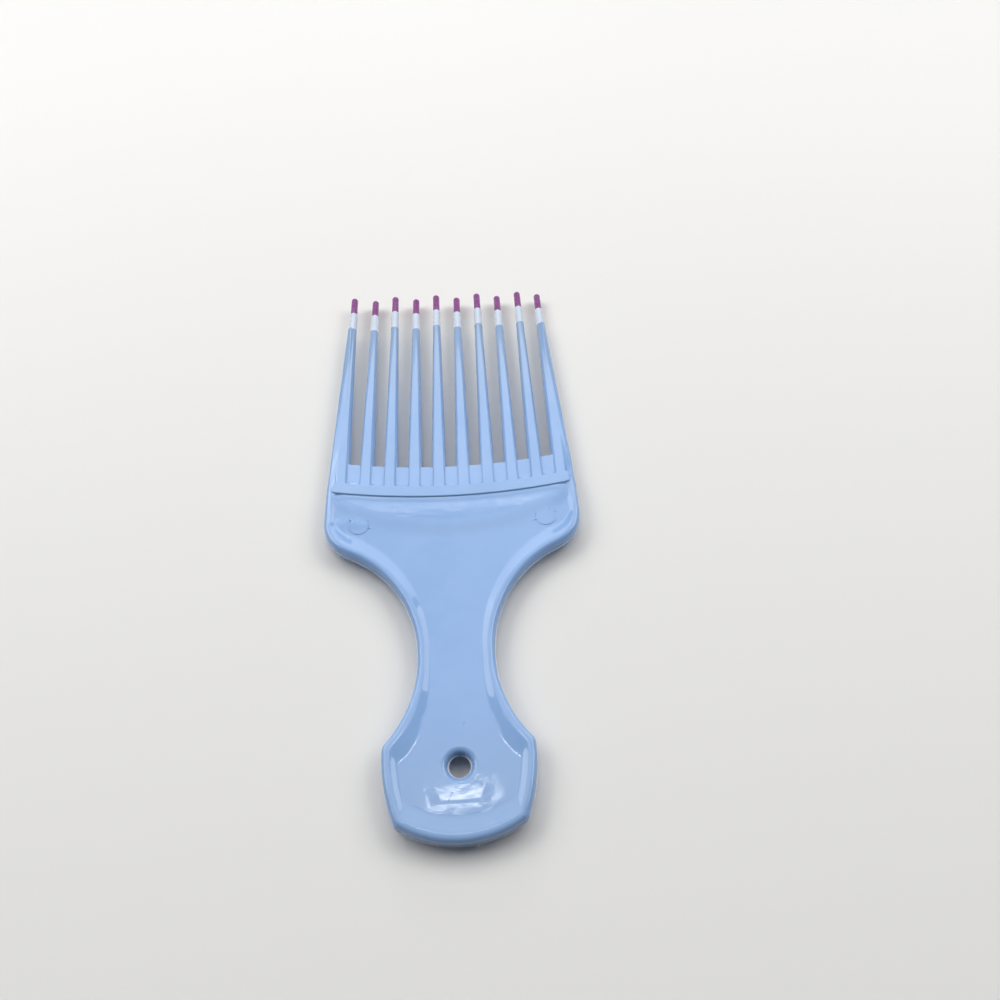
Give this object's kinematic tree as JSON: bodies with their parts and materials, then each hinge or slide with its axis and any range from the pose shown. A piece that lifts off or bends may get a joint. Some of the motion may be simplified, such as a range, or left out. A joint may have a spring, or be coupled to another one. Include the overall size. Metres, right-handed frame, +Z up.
{
  "type": "afro pick",
  "caption": "Flat moulded plastic hair pick with a dished handle, a hang hole, a raised rail and long straight teeth that end in white bands and rounded violet caps, for lifting curly hair.",
  "frame": {"origin": "middle of the box's underside: the pick lies on its back on the rail's underside", "axes": "+X across the teeth, +Y from the handle's end to the tooth tips, +Z up out of the front face"},
  "size_m": [0.065, 0.1629, 0.0058],
  "materials": {
    "body_blue": "moulded gloss",
    "band_white": "gloss",
    "cap_violet": "gloss"
  },
  "bodies": {
    "root": {"moulded_body": "body_blue", "tip_band_01": "band_white", "tip_cap_01": "cap_violet", "tip_band_02": "band_white", "tip_cap_02": "cap_violet", "tip_band_03": "band_white", "tip_cap_03": "cap_violet", "tip_band_04": "band_white", "tip_cap_04": "cap_violet", "tip_band_05": "band_white", "tip_cap_05": "cap_violet", "tip_band_06": "band_white", "tip_cap_06": "cap_violet", "tip_band_07": "band_white", "tip_cap_07": "cap_violet", "tip_band_08": "band_white", "tip_cap_08": "cap_violet", "tip_band_09": "band_white", "tip_cap_09": "cap_violet", "tip_band_10": "band_white", "tip_cap_10": "cap_violet"}
  },
  "joints": []
}
